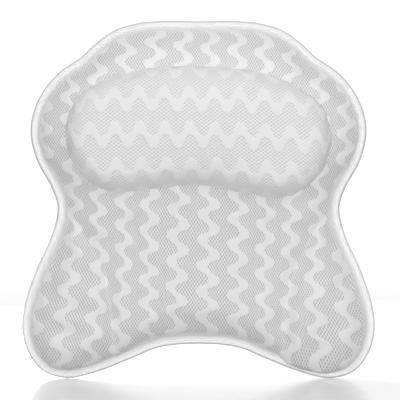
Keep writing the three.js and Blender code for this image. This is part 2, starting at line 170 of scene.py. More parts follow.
# Hanging loop
RIBBON_WIDTH = 12
RIBBON_THICKNESS = 1.2
LOOP_LENGTH = 44
LOOP_STITCHING = 6
LOOP_GAP = 6.5
LOOP_TIP_BULGE = 0.6
PATCH_WIDTH = 20
PATCH_HEIGHT = 14
PATCH_DROP = 55
PATCH_SEAM_INSET = 2
PATCH_STITCH_PITCH = 2.4
PATCH_STITCH_SHARE = 0.72
PATCH_THREAD_RADIUS = 0.28
PATCH_THREAD_LIFT = 0.05

# Depths that follow from the sizes above
EYELET_DEPTH = CUP_HEIGHT + SPIN_CLEARANCE
BACK_DEPTH = EYELET_DEPTH + EYELET_FLANGE_THICKNESS + SEAT_GAP
BACK_SEAM_DEPTH = BACK_DEPTH + BACK_PUFF
BINDING_DEPTH = BACK_SEAM_DEPTH + SEAM_THICKNESS + SEAT_GAP / 2
FRONT_SEAM_DEPTH = BINDING_DEPTH + SEAT_GAP / 2 + SEAM_THICKNESS
FRONT_DEPTH = FRONT_SEAM_DEPTH + FRONT_PUFF
HEADREST_DEPTH = FRONT_DEPTH + SEAT_GAP
HEADREST_FOOT = PILLOW_HEIGHT - HEADREST_DROP - HEADREST_HEIGHT
LIP_DEPTH = BACK_DEPTH + MESH_THICKNESS + WASHER_THICKNESS + 2 * SEAT_GAP
HEAD_DEPTH = LIP_DEPTH + EYELET_LIP_THICKNESS + SPIN_CLEARANCE
BORE_RADIUS = CUP_NECK_RADIUS + SPIN_CLEARANCE
BARREL_RADIUS = BORE_RADIUS + EYELET_WALL

# Half of the pillow's outline, from the top's middle round to the bottom's, in shares of half the width
# and of the height
OUTLINE_SHARES = [
    [0, 0.999], [0.21, 1], [0.352, 0.993], [0.477, 0.974], [0.579, 0.939], [0.67, 0.898],
    [0.787, 0.858], [0.88, 0.806], [0.939, 0.742], [0.953, 0.68], [0.914, 0.605], [0.837, 0.536],
    [0.8, 0.478], [0.831, 0.402], [0.919, 0.304], [0.985, 0.206], [1, 0.138], [0.965, 0.071],
    [0.88, 0.019], [0.744, 0], [0.568, 0.019], [0.386, 0.054], [0.224, 0.086], [0, 0.096],
]

# Half of the headrest's outline, in shares of half its width and of its height
HEADREST_SHARES = [
    [0, 1], [0.228, 0.989], [0.433, 0.958], [0.639, 0.896], [0.821, 0.804], [0.928, 0.701],
    [0.985, 0.563], [1, 0.44], [0.973, 0.294], [0.901, 0.16], [0.806, 0.072], [0.707, 0.018],
    [0.593, 0], [0.441, 0.015], [0.228, 0.049], [0, 0.072],
]
HEADREST_POLE_SHARE = 0.53
FLANK_TURNS_DEGREES = [0, 12, 24, 36, 48, 60, 71, 80]
FLANK_TUCK_SHARE = 0.2

# The right half's crease and softer fold, in shares of half the pillow's width and of its height
CREASE_SHARES = [[0.775, 0.482], [0.7, 0.45], [0.6, 0.36], [0.516, 0.262], [0.488, 0.163], [0.484, 0.06]]
FOLD_SHARES = [[0.375, 0.437], [0.318, 0.345], [0.272, 0.247], [0.238, 0.157], [0.216, 0.093]]

# Where the twelve wave bands of the body's cloth run: their sides at five heights, in shares of half the
# width and of the height
BAND_HEIGHT_SHARES = [0.093, 0.219, 0.325, 0.415, 0.919]
BAND_SIDE_SHARES = [
    [-0.951, -0.771, -0.603, -0.449, -0.275, -0.139, 0.043, 0.218, 0.372, 0.52, 0.678, 0.865],
    [-0.912, -0.734, -0.559, -0.436, -0.276, -0.129, 0.051, 0.225, 0.37, 0.507, 0.642, 0.824],
    [-0.888, -0.715, -0.55, -0.418, -0.286, -0.122, 0.054, 0.223, 0.369, 0.514, 0.648, 0.807],
    [-0.865, -0.7, -0.568, -0.415, -0.284, -0.115, 0.057, 0.226, 0.38, 0.519, 0.678, 0.82],
    [-0.877, -0.724, -0.57, -0.407, -0.241, -0.082, 0.065, 0.218, 0.366, 0.522, 0.678, 0.831],
]

# The heights of four rows of the waves' bends at each band, in shares of the height, and the rows' numbers
BEND_ROWS = [-3, 0, 2, 9]
BEND_HEIGHT_SHARES = [
    [0.184, 0.177, 0.171, 0.149, 0.149, 0.115, 0.101, 0.093, 0.079, 0.079, 0.059, 0.04],
    [0.404, 0.39, 0.3815, 0.359, 0.3367, 0.3255, 0.3143, 0.3, 0.292, 0.2835, 0.2863, 0.275],
    [0.54, 0.527, 0.501, 0.492, 0.485, 0.47, 0.4555, 0.4445, 0.427, 0.422, 0.415, 0.416],
    [0.989, 0.975, 0.96, 0.946, 0.9355, 0.924, 0.9185, 0.912, 0.904, 0.892, 0.8875, 0.882],
]

# The cloth's waves and holes, in shares of the bands' spacing and of the waves' length
BAND_WIDTH_SHARE = 0.362
WAVE_SWING_SHARE = 0.214
WAVE_ROUNDING_SHARE = 0.094
BAND_EDGE_SHARE = 0.012
RELIEF_EDGE_SHARE = 0.06
HOLES_PER_BAND = 10.3
HOLES_PER_WAVE = 5.4

# The headrest's cloth, which is turned so that its waves run sideways
HEADREST_BAND_SPACING = 37.8
HEADREST_BAND_HEIGHT = 62.1
HEADREST_WAVE = 26.2
HEADREST_WAVE_SIDE = -8.9
HEADREST_BAND_BOW = 4
HEADREST_CLOTH_TILT_DEGREES = 1.3
HEADREST_WAVE_LEAN = 0.058
HEADREST_WAVE_MIDDLE = 70

# Meshing
OUTLINE_SIDES = 480
BINDING_SIDES = 960
CAGE_SIDES = 240
CAGE_SPACING = 6
CAGE_RINGS_PAST_SEAM = [2.5, 6.5, 11.5]
CAGE_CLEARANCE_SHARE = 0.7
HEADREST_CAGE_SIDES = 116
HEADREST_CLEARANCE_SHARE = 0.6
REFINEMENTS = 2
BACK_REFINEMENTS = 1
ROUND_SIDES = 64
CURVE_STEPS = 16
LOOP_STEPS = 64
TAB_STEPS = 17
LOOP_TOP_STEPS = 13
STITCH_SIDES = 6
STITCH_STEPS = 7
PITCH_STEPS = 10
CHUNK = 2000
MERGE_GAP = 1e-4
TINY = 1e-6

# Seeds of the filling's lumps and of the ripples in the tape's face, in its edge and in the headrest's seam
LUMP_SEED = 11
PUCKER_SEED = 3
EDGE_SEED = 4
GATHER_SEED = 5

# Cloth simulation
CLOTH_FRAMES = 20
CLOTH_QUALITY = 6
CLOTH_MASS = 0.3
CLOTH_PRESSURE = 4
BODY_SWELL_CAP = 2
HEADREST_SWELL_CAP = 1.2
CLOTH_SPARE_SHARE = 0.02
CREASE_HOLD_SHARE = 0.6


# Curves and outlines


def up(height):
    return height - ORIGIN_HEIGHT


def smooth(share):
    s = np.clip(share, 0, 1)
    return s * s * (3 - 2 * s)


def puffed(share, roundness=2 / 3):
    s = np.clip(share, 0, 1)
    return (1 - (1 - s) ** 2) ** roundness


def spline(corners, closed):
    """Points close together on a centripetal curve through the corners"""
    corners = np.array(corners, float)
    if closed:
        padded = np.vstack([corners[-1], corners, corners[:2]])
    else:
        padded = np.vstack([2 * corners[0] - corners[1], corners, 2 * corners[-1] - corners[-2]])
    steps = np.linspace(0, 1, CURVE_STEPS, endpoint=False)[:, None]
    line = []
    for before, start, end, after in zip(padded, padded[1:], padded[2:], padded[3:]):
        first, middle, last = (
            math.sqrt(np.linalg.norm(b - a)) for a, b in ((before, start), (start, end), (end, after))
        )
        leave = (start - before) / first - (end - before) / (first + middle) + (end - start) / middle
        reach = (end - start) / middle - (after - start) / (middle + last) + (after - end) / last
        leave, reach = leave * middle, reach * middle
        square = 3 * (end - start) - 2 * leave - reach
        cube = 2 * (start - end) + leave + reach
        line.append(start + steps * (leave + steps * (square + steps * cube)))
    return np.vstack(line if closed else line + [corners[-1:]])


def run_along(line):
    """How far along a line each of its points is"""
    return np.concatenate([[0], np.cumsum(np.linalg.norm(np.diff(line, axis=0), axis=1))])


def evenly_spaced(line, count, closed=True):
    """The given number of points along a line, at equal distances"""
    if closed:
        line = np.vstack([line, line[:1]])
    run = run_along(line)
    places = np.linspace(0, run[-1], count, endpoint=not closed)
    return np.column_stack([np.interp(places, run, axis) for axis in line.T])


def mirrored_outline(half, half_width, height, count):
    half = np.array(half)
    corners = np.vstack([half, half[-2:0:-1] * (-1, 1)]) * (half_width, height)
    return evenly_spaced(spline(corners, True), count)


def pillow_outline(count):
    return mirrored_outline(OUTLINE_SHARES, PILLOW_WIDTH / 2, PILLOW_HEIGHT, count) + (0, up(0))


def tilted(points, degrees):
    """Points turned about the headrest's middle, clockwise seen from the front"""
    turn = math.radians(degrees)
    middle = np.array([0, up(HEADREST_FOOT + HEADREST_HEIGHT / 2)])
    x, z = (points - middle).T
    return middle + np.column_stack([
        x * math.cos(turn) + z * math.sin(turn), z * math.cos(turn) - x * math.sin(turn)])


def headrest_outline(count):
    outline = mirrored_outline(HEADREST_SHARES, HEADREST_WIDTH / 2, HEADREST_HEIGHT, count)
    return tilted(outline + (0, up(HEADREST_FOOT)), HEADREST_TILT_DEGREES)


def inward(outline):
    """The direction into the outline at each of its points"""
    along = np.roll(outline, -1, axis=0) - np.roll(outline, 1, axis=0)
    along /= np.linalg.norm(along, axis=1)[:, None]
    return np.column_stack([along[:, 1], -along[:, 0]])


def inset_ring(outline, inset):
    return outline + inward(outline) * np.reshape(inset, (-1, 1))


def nearest_on(points, line, closed=True):
    """Each point's distance from a line, and how far along the line its nearest place is"""
    starts = line if closed else line[:-1]
    ends = np.roll(line, -1, axis=0) if closed else line[1:]
    way = ends - starts
    length = np.linalg.norm(way, axis=1)
    run = np.cumsum(length) - length
    distances, places = [], []
    for chunk in np.array_split(points, 1 + len(points) // CHUNK):
        gap = chunk[:, None] - starts
        share = np.clip((gap * way).sum(axis=2) / length ** 2, 0, 1)
        away = np.linalg.norm(gap - share[..., None] * way, axis=2)
        best = away.argmin(axis=1)
        rows = np.arange(len(chunk))
        distances.append(away[rows, best])
        places.append(run[best] + share[rows, best] * length[best])
    return np.concatenate(distances), np.concatenate(places)


def ripple(along, wavelengths, seed):
    """Uneven ripples along a seam, between about -1 and 1"""
    phases = np.random.RandomState(seed).uniform(0, 2 * np.pi, len(wavelengths))
    waves = [np.sin(2 * np.pi * along / length + phase) for length, phase in zip(wavelengths, phases)]
    return np.mean(waves, axis=0)


# The body's surfaces

OUTLINE = pillow_outline(OUTLINE_SIDES)
HEADREST_EDGE = headrest_outline(OUTLINE_SIDES)
HEADREST_SEAM = inset_ring(HEADREST_EDGE, HEADREST_TUCK)


def half_curve(shares):
    return spline(np.array(shares) * (PILLOW_WIDTH / 2, PILLOW_HEIGHT) + (0, up(0)), False)


CREASE = half_curve(CREASE_SHARES)
FOLD = half_curve(FOLD_SHARES)


def valley(points, line, width):
    """1 on a line of the right half and on its mirror image, falling to 0 at the width"""
    mirrored = np.column_stack([abs(points[:, 0]), points[:, 1]])
    return smooth(1 - nearest_on(mirrored, line, False)[0] / width)


def lumps(points):
    """The filling's unevenness"""
    draw = np.random.RandomState(LUMP_SEED)
    height = np.zeros(len(points))
    for length in LUMP_LENGTHS:
        turn, phase = draw.uniform(0, 2 * np.pi, 2)
        height += np.sin(2 * np.pi / length * (points @ [math.cos(turn), math.sin(turn)]) + phase)
    return LUMP_HEIGHT * height / len(LUMP_LENGTHS)


def front_depth(points):
    inset = nearest_on(points, OUTLINE)[0]
    inside = (inset - SEAM_END) / FRONT_PUFF_RUN
    x, z = points.T
    wing = WING_PUFF * smooth(1 - np.hypot(abs(x) - WING_SIDE, z - up(WING_HEIGHT)) / WING_PUFF_RADIUS)
    dips = CREASE_DEPTH * valley(points, CREASE, CREASE_WIDTH) + FOLD_DEPTH * valley(points, FOLD, FOLD_WIDTH)
    seam = smooth(1 - nearest_on(points, HEADREST_SEAM)[0] / HEADREST_PINCH_RUN)
    fold = CREASE_FOLD_DEPTH * valley(points, CREASE, CREASE_FOLD_WIDTH) * smooth(inside * 4)
    return (FRONT_SEAM_DEPTH + FRONT_PUFF * puffed(inside, FRONT_ROUNDNESS) - fold
            + (wing - dips - HEADREST_PINCH * seam + lumps(points)) * smooth(inside))


def back_depth(points):
    inset = nearest_on(points, OUTLINE)[0]
    return BACK_SEAM_DEPTH - BACK_PUFF * puffed((inset - SEAM_END) / BACK_PUFF_RUN)


def sagged(points):
    """Flat points with the cloth hanging down along the foot, and over the binding at the right lobe"""
    inset = nearest_on(points, OUTLINE)[0]
    x, z = points.T
    low, start, end, high = OVERHANG_SIDES
    lobe = smooth((x - low) / (start - low)) * smooth((high - x) / (high - end))
    lobe *= smooth((up(OVERHANG_HEIGHT) - z) / (OVERHANG_HEIGHT / 3))
    bulge = smooth((inset - SEAM_END) / SAG_RISE)
    bulge *= smooth((SAG_INSET - inset) / (SAG_INSET - SEAM_END - SAG_RISE))
    foot = smooth((SAG_INSET - inset) / (SAG_INSET - SEAM_END)) * smooth((inset - SEAM_END) / SEAM_FADE + 1)
    fall = SAG * bulge + OVERHANG * lobe * ((1 - OVERHANG_FOOT_SHARE) * bulge + OVERHANG_FOOT_SHARE * foot)
    return points - np.column_stack([np.zeros(len(points)), fall])


def laid(points, depth):
    """Points of a flat outline as points in space, at the given depths"""
    return np.column_stack([points[:, 0], -np.broadcast_to(depth, len(points)), points[:, 1]])


# Mesh building


def cage(rings, spacing, clearance):
    """Triangles over a flat outline: its rings, and evenly spread points inside the last of them"""
    low, high = rings[0].min(axis=0), rings[0].max(axis=0)
    spread = []
    for i, height in enumerate(np.arange(low[1], high[1], spacing * math.sqrt(3) / 2)):
        row = np.arange(low[0] + (i % 2) * spacing / 2, high[0], spacing)
        spread.append(np.column_stack([row, np.full(len(row), height)]))
    spread = np.vstack(spread)
    spread = spread[inside_ring(spread, rings[-1])]
    spread = spread[nearest_on(spread, rings[-1])[0] > clearance]
    points = np.vstack([*rings, spread])
    count = len(rings[0])
    rim = [(i, (i + 1) % count) for i in range(count)]
    result = delaunay_2d_cdt([Vector(p) for p in points], rim, [], 1, MERGE_GAP)
    return np.array([tuple(p) for p in result[0]]), np.array([tuple(f) for f in result[2]])


def inside_ring(points, ring):
    """Which points lie inside a closed ring"""
    crossings = np.zeros(len(points), int)
    for (ax, az), (bx, bz) in zip(ring, np.roll(ring, -1, axis=0)):
        if az == bz:
            continue
        spans = (points[:, 1] < az) != (points[:, 1] < bz)
        crossings += spans & (points[:, 0] < ax + (points[:, 1] - az) / (bz - az) * (bx - ax))
    return crossings % 2 == 1


def mesh_from(name, points, faces):
    mesh = bpy.data.meshes.new(name)
    mesh.from_pydata((np.asarray(points) * MM).tolist(), [], [list(f) for f in faces])
    return mesh


def solid_mesh(name, points, faces):
    """A closed mesh whose faces all face outwards"""
    mesh = mesh_from(name, points, faces)
    edit = bmesh.new()
    edit.from_mesh(mesh)
    bmesh.ops.recalc_face_normals(edit, faces=edit.faces)
    edit.to_mesh(mesh)
    edit.free()
    return mesh


def ring_faces(starts, size):
    """Quads that join rings of points of one size, given the number of each ring's first point"""
    faces = []
    for here, after in zip(starts, starts[1:]):
        for i in range(size):
            j = (i + 1) % size
            faces.append((here + j, here + i, after + i, after + j))
    return faces


def joined(*parts):
    """The points and faces of several parts as those of one"""
    points, faces, first = [], [], 0
    for part_points, part_faces in parts:
        points.append(part_points)
        faces += [tuple(first + i for i in face) for face in part_faces]
        first += len(part_points)
    return np.vstack(points), faces


def linked(name, mesh):
    obj = bpy.data.objects.new(name, mesh)
    bpy.context.scene.collection.objects.link(obj)
    return obj


def evaluated_points(obj):
    """The object's points with its modifiers, in millimetres, and the points at its faces' corners in turn"""
    shown = obj.evaluated_get(bpy.context.evaluated_depsgraph_get()).data
    points = np.empty(len(shown.vertices) * 3)
    shown.vertices.foreach_get("co", points)
    corners = np.empty(len(shown.loops), int)
    shown.loops.foreach_get("vertex_index", corners)
    return points.reshape(-1, 3) / MM, corners


def refined(faces, levels, *fields):
    """The faces split by subdivision into quads, with the fields that belong to their points"""
    results = []
    for field in fields:
        obj = linked("refined", mesh_from("refined", field, faces))
        obj.modifiers.new("split", "SUBSURF").levels = levels
        points, corners = evaluated_points(obj)
        results.append(points)
        bpy.data.objects.remove(obj)
    return [corners.reshape(-1, 4), *results]


def normals_of(points, faces):
    across = points[faces[:, 2]] - points[faces[:, 0]]
    along = points[faces[:, -1]] - points[faces[:, 1]]
    face_normals = np.cross(across, along)
    normals = np.zeros_like(points)
    for corner in faces.T:
        np.add.at(normals, corner, face_normals)
    return normals / np.linalg.norm(normals, axis=1)[:, None]


def open_edge(faces):
    """The points along the open edge of a surface, in the order in which its faces pass them"""
    sides = {(a, b) for face in faces.tolist() for a, b in zip(face, face[1:] + face[:1])}
    following = dict((a, b) for a, b in sides if (b, a) not in sides)
    loop = [min(following)]
    while following[loop[-1]] != loop[0]:
        loop.append(following[loop[-1]])
    return loop


def closed_behind(points, faces, depth):
    """The surface closed by a wall from its open edge to a flat cap at the given depth"""
    edge = open_edge(faces)
    first = len(points)
    wall = points[edge]
    wall[:, 1] = -depth
    count = len(edge)
    sides = [(edge[(i + 1) % count], edge[i], first + i, first + (i + 1) % count) for i in range(count)]
    cap = list(range(first, first + count))[::-1]
    return np.vstack([points, wall]), [*faces.tolist(), *sides, cap]


def with_attribute(mesh, name, values):
    """Stores two or three numbers for each point, which the materials read by name"""
    layer = mesh.attributes.new(name, "FLOAT_VECTOR", "POINT")
    flat = np.zeros((len(mesh.vertices), 3))
    flat[:len(values), :values.shape[1]] = values
    layer.data.foreach_set("vector", flat.ravel())


def piece(name, mesh, material, body, smooth_faces=True):
    obj = linked(name, mesh)
    mesh.materials.append(material)
    mesh.polygons.foreach_set("use_smooth", [smooth_faces] * len(mesh.polygons))
    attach(obj, body)
    return obj


def swollen(points, faces, held, cap):
    """How each point of a cloth moves when it is stuffed, up to a cap, with some points held"""
    obj = linked("swollen", mesh_from("swollen", points, faces))
    group = obj.vertex_groups.new(name="held")
    for index, weight in enumerate(held.tolist()):
        if weight > 0:
            group.add([index], weight, "REPLACE")
    cloth = obj.modifiers.new("cloth", "CLOTH")
    cloth.settings.quality = CLOTH_QUALITY
    cloth.settings.mass = CLOTH_MASS
    cloth.settings.use_pressure = True
    cloth.settings.uniform_pressure_force = CLOTH_PRESSURE
    cloth.settings.shrink_min = -CLOTH_SPARE_SHARE
    cloth.settings.effector_weights.gravity = 0
    cloth.settings.vertex_group_mass = "held"
    cloth.point_cache.frame_start = 1
    cloth.point_cache.frame_end = CLOTH_FRAMES
    for step in range(1, CLOTH_FRAMES + 1):
        bpy.context.scene.frame_set(step)
    moved = evaluated_points(obj)[0] - points
    bpy.data.objects.remove(obj)
    bpy.context.scene.frame_set(1)
    far = np.maximum(np.linalg.norm(moved, axis=1), TINY)[:, None]
    return moved * cap * np.tanh(far / cap) / far


# The cloth's pattern: whole numbers across are the middles of bands, and whole numbers along are bends


def band_relief(pattern):
    """How far the cloth stands proud at each place of the pattern, as it does on the bands"""
    turn = 2 * np.pi * pattern[:, 1]
    swing = WAVE_SWING_SHARE * (np.cos(turn) - WAVE_ROUNDING_SHARE * np.cos(3 * turn))
    away = abs((pattern[:, 0] + swing + 0.5) % 1 - 0.5)
    return BAND_RELIEF * smooth(0.5 + (BAND_WIDTH_SHARE / 2 - away) / RELIEF_EDGE_SHARE)


def open_and_unshaded_share(points):
    """How open the cloth's holes are: pressed shut along the outline, where the materials also darken the
    cloth as painted shade along the seam
    """
    return smooth((nearest_on(points, OUTLINE)[0] - SEAM_END) / MARGIN)


def place_among(columns, values):
    """For each value, the last of its row's rising columns that it has passed and its share of the way to
    the next"""
    index = np.arange(len(values))
    before = np.clip((columns <= values[:, None]).sum(axis=1) - 1, 0, columns.shape[1] - 2)
    start, end = columns[index, before], columns[index, before + 1]
    return before, (values - start) / (end - start)


def body_pattern(points):
    side = points[:, 0] / (PILLOW_WIDTH / 2)
    height = (points[:, 1] - up(0)) / PILLOW_HEIGHT
    sides = np.column_stack([np.interp(height, BAND_HEIGHT_SHARES, band) for band in zip(*BAND_SIDE_SHARES)])
    sides = np.hstack([2 * sides[:, :1] - sides[:, 1:2], sides, 2 * sides[:, -1:] - sides[:, -2:-1]])
    before, share = place_among(sides, side)
    across = before + share - 1
    bands = np.arange(len(BEND_HEIGHT_SHARES[0]))
    bends = np.column_stack([np.interp(across, bands, row) for row in BEND_HEIGHT_SHARES])
    row, share = place_among(bends, height)
    rows = np.array(BEND_ROWS)
    along = rows[row] + (rows[row + 1] - rows[row]) * share
    return np.column_stack([across, along, open_and_unshaded_share(points)])


def back_pattern(points):
    spacing = PILLOW_WIDTH / len(BAND_SIDE_SHARES[0])
    return np.column_stack([points[:, 0] / spacing, points[:, 1] / spacing, open_and_unshaded_share(points)])


def headrest_pattern(points):
    """The pattern for places on the flattened headrest cloth"""
    x, z = tilted(points, -HEADREST_CLOTH_TILT_DEGREES).T
    height = z - up(HEADREST_FOOT)
    bow = HEADREST_BAND_BOW * (x / (HEADREST_WIDTH / 2)) ** 2
    across = -(height + bow - HEADREST_BAND_HEIGHT) / HEADREST_BAND_SPACING
    lean = HEADREST_WAVE_LEAN * (height - HEADREST_WAVE_MIDDLE)
    return np.column_stack([across, (x - HEADREST_WAVE_SIDE + lean) / HEADREST_WAVE, np.ones(len(points))])


# Materials


def add_node(tree, kind, inputs, **settings):
    """A new node with its settings, and its inputs as values or as links from other nodes"""
    node = tree.nodes.new(kind)
    for name, value in settings.items():
        setattr(node, name, value)
    for socket, value in inputs.items():
        if isinstance(value, bpy.types.NodeSocket):
            tree.links.new(value, node.inputs[socket])
        else:
            node.inputs[socket].default_value = value
    return node


class Finish:
    """A node material. Its methods add nodes and give back their outputs."""

    def __init__(self, name, **constants):
        self.material = bpy.data.materials.new(name)
        self.material.use_nodes = True
        self.tree = self.material.node_tree
        self.shader = self.tree.nodes["Principled BSDF"]
        for socket, value in constants.items():
            self.shader.inputs[socket.replace("_", " ")].default_value = value

    def node(self, kind, inputs, **settings):
        return add_node(self.tree, kind, inputs, **settings)

    def math(self, operation, *values):
        return self.node("ShaderNodeMath", dict(enumerate(values)), operation=operation).outputs[0]

    def times(self, first, second):
        return self.math("MULTIPLY", first, second)

    def wave(self, value, turns, kind="COSINE"):
        """A wave along a value, with the given number of turns to each unit"""
        return self.math(kind, self.times(value, 2 * math.pi * turns))

    def attribute(self, name):
        place = self.node("ShaderNodeAttribute", {}, attribute_name=name).outputs["Vector"]
        return place, self.node("ShaderNodeSeparateXYZ", {0: place}).outputs

    def steps(self, value, low, high):
        """Rises smoothly from 0 to 1 between two values"""
        inputs = {"Value": value, "From Min": low, "From Max": high}
        return self.node("ShaderNodeMapRange", inputs, interpolation_type="SMOOTHSTEP").outputs[0]

    def scaled(self, value, low, high):
        """A share from 0 to 1 as a value between two others"""
        return self.node("ShaderNodeMapRange", {"Value": value, "To Min": low, "To Max": high}).outputs[0]

    def noise(self, place, scale, detail):
        inputs = {"Vector": place, "Scale": scale, "Detail": detail}
        return self.node("ShaderNodeTexNoise", inputs).outputs["Fac"]

    def mixed(self, share, first, second):
        """A share between two colours, which are the mix node's inputs 6 and 7"""
        return self.node("ShaderNodeMix", {0: share, 6: first, 7: second}, data_type="RGBA").outputs[2]

    def bump(self, height, distance):
        """A normal from a height, which stands for a distance in millimetres"""
        inputs = {"Height": height, "Distance": distance * MM, "Strength": 1}
        return self.node("ShaderNodeBump", inputs).outputs[0]

    def done(self, colour, roughness, normal=None):
        """The material, with what its nodes make of its colour, roughness and bump"""
        for socket, value in {"Base Color": colour, "Roughness": roughness, "Normal": normal}.items():
            if value is not None:
                self.tree.links.new(value, self.shader.inputs[socket])
        return self.material


def tone(grey):
    return (grey, grey, grey, 1)


# Heights of the materials' bumps, and the tape's threads
MESH_BUMP = 0.35
TAPE_BUMP = 0.12
THREAD_BUMP = 0.1
VINYL_BUMP = 0.05
PLASTIC_BUMP = 0.03
TAPE_RIB_LENGTH = 0.9
HERRINGBONE_WIDTH = 1.1
WARP_LENGTH = 0.6
WARP_LEAN = 0.7


def air_mesh(name, banded, band_tone, thread_tone, hole_tone):
    """Knitted air mesh: rows of long holes, and on the banded kind smooth waves that stand proud. Along the
    seam the holes close and the cloth darkens as painted shade.
    """
    finish = Finish(name, Sheen_Weight=0.25, Sheen_Roughness=0.5, Specular_IOR_Level=0.25)
    place, (across, along, open_and_unshaded) = finish.attribute("cloth")
    sharpening = finish.times(finish.wave(along, 3), -WAVE_SWING_SHARE * WAVE_ROUNDING_SHARE)
    swing = finish.math("MULTIPLY_ADD", finish.wave(along, 1), WAVE_SWING_SHARE, sharpening)
    away = finish.math("PINGPONG", finish.math("ADD", across, swing), 0.5)
    half = BAND_WIDTH_SHARE / 2
    ground = finish.steps(away, half - BAND_EDGE_SHARE, half + BAND_EDGE_SHARE) if banded else 1
    wales = finish.times(across, 2 * math.pi * HOLES_PER_BAND)
    courses = finish.times(along, 2 * math.pi * HOLES_PER_WAVE)
    falling = finish.math("COSINE", finish.math("ADD", wales, courses))
    rising = finish.math("COSINE", finish.math("SUBTRACT", wales, courses))
    lattice = finish.math("MULTIPLY_ADD", falling, 0.56, finish.times(rising, 0.44))
    hole = finish.times(finish.steps(lattice, -0.45, 1), finish.times(ground, open_and_unshaded))
    fibre = finish.noise(place, 90, 3)
    patch = finish.noise(place, 1.3, 2)
    thread = finish.mixed(fibre, tone(thread_tone * 0.93), tone(thread_tone * 1.07))
    rib = finish.steps(finish.math("MULTIPLY_ADD", fibre, 6, falling), 1.5, 4.5)
    band = finish.mixed(rib, tone(band_tone * 1.02), tone(band_tone * 0.97))
    cloth = finish.mixed(ground, band, thread)
    # Painted shade: the cloth darkens along the seam, where it lies in the shade of the binding and the puff
    cloth = finish.mixed(finish.scaled(open_and_unshaded, 0.4, 0), cloth, tone(thread_tone * 0.8))
    cloth = finish.mixed(finish.scaled(patch, 0, 0.12), cloth, tone(thread_tone * 0.9))
    colour = finish.mixed(hole, cloth, tone(hole_tone))
    roughness = finish.scaled(finish.times(ground, fibre), 0.72, 0.95)
    height = finish.math("SUBTRACT", finish.times(fibre, 0.25), hole)
    return finish.done(colour, roughness, finish.bump(height, MESH_BUMP))


def woven_tape(name, grey):
    """Fine ribbed tape: ribs across its length, with a herringbone of warp threads, and painted shade at a
    fold
    """
    finish = Finish(name, Sheen_Weight=0.3, Sheen_Roughness=0.4, Specular_IOR_Level=0.3)
    place, (along, across, fold) = finish.attribute("tape")
    rib = finish.wave(along, 1 / TAPE_RIB_LENGTH, "SINE")
    lean = finish.math("PINGPONG", across, HERRINGBONE_WIDTH)
    slant = finish.math("MULTIPLY_ADD", along, WARP_LEAN, lean)
    warp = finish.wave(slant, 1 / WARP_LENGTH, "SINE")
    raised = finish.steps(finish.math("MULTIPLY_ADD", warp, 0.5, rib), -1.5, 1.5)
    wear = finish.noise(place, 0.12, 3)
    cloth = finish.mixed(raised, tone(grey * 0.96), tone(grey))
    cloth = finish.mixed(finish.scaled(wear, 0, 0.15), cloth, tone(grey * 0.9))
    # Painted shade: the tape darkens towards its fold at the outer edge, where it turns away from the light
    colour = finish.mixed(fold, cloth, tone(grey * 0.7))
    roughness = finish.scaled(finish.times(raised, wear), 0.65, 0.9)
    return finish.done(colour, roughness, finish.bump(raised, TAPE_BUMP))


def sewing_thread(name, grey):
    """Twisted thread"""
    finish = Finish(name, Sheen_Weight=0.2, Specular_IOR_Level=0.4)
    place = finish.node("ShaderNodeNewGeometry", {}).outputs["Position"]
    twist = finish.noise(place, 2600, 2)
    colour = finish.mixed(twist, tone(grey * 0.9), tone(grey))
    return finish.done(colour, finish.scaled(twist, 0.55, 0.8), finish.bump(twist, THREAD_BUMP))


def clear_vinyl(name):
    """Soft clear vinyl with a milky depth and faint moulding marks"""
    finish = Finish(name, Transmission_Weight=0.88, IOR=1.46, Coat_Weight=0.2)
    place = finish.node("ShaderNodeTexCoord", {}).outputs["Object"]
    cloud = finish.noise(place, 60, 3)
    marks = finish.noise(place, 500, 2)
    colour = finish.mixed(cloud, (0.88, 0.91, 0.92, 1), (0.95, 0.97, 0.97, 1))
    return finish.done(colour, finish.scaled(cloud, 0.06, 0.2), finish.bump(marks, VINYL_BUMP))


def moulded_plastic(name, grey):
    """White moulded plastic with a fine spark-eroded grain"""
    finish = Finish(name, Specular_IOR_Level=0.45)
    place = finish.node("ShaderNodeTexCoord", {}).outputs["Object"]
    grain = finish.noise(place, 2400, 2)
    cloud = finish.noise(place, 120, 2)
    colour = finish.mixed(cloud, tone(grey * 0.96), tone(grey))
    return finish.done(colour, finish.scaled(grain, 0.35, 0.55), finish.bump(grain, PLASTIC_BUMP))


WAVE_MESH = air_mesh("wave_mesh", banded=True, band_tone=0.8, thread_tone=0.8, hole_tone=0.45)
HEADREST_MESH = air_mesh("headrest_mesh", banded=True, band_tone=0.815, thread_tone=0.83, hole_tone=0.63)
PLAIN_MESH = air_mesh("plain_mesh", banded=False, band_tone=0.84, thread_tone=0.83, hole_tone=0.47)
TAPE = woven_tape("binding_tape", 0.93)
THREAD = sewing_thread("sewing_thread", 0.86)
VINYL = clear_vinyl("clear_vinyl")
PLASTIC = moulded_plastic("white_plastic", 0.86)


# The body's cushions


def body_cage():
    outline = pillow_outline(CAGE_SIDES)
    insets = [COVER_INSET, SEAM_END / 2, SEAM_END, *(SEAM_END + past for past in CAGE_RINGS_PAST_SEAM)]
    rings = [inset_ring(outline, inset) for inset in insets]
    return cage(rings, CAGE_SPACING, CAGE_SPACING * CAGE_CLEARANCE_SHARE)


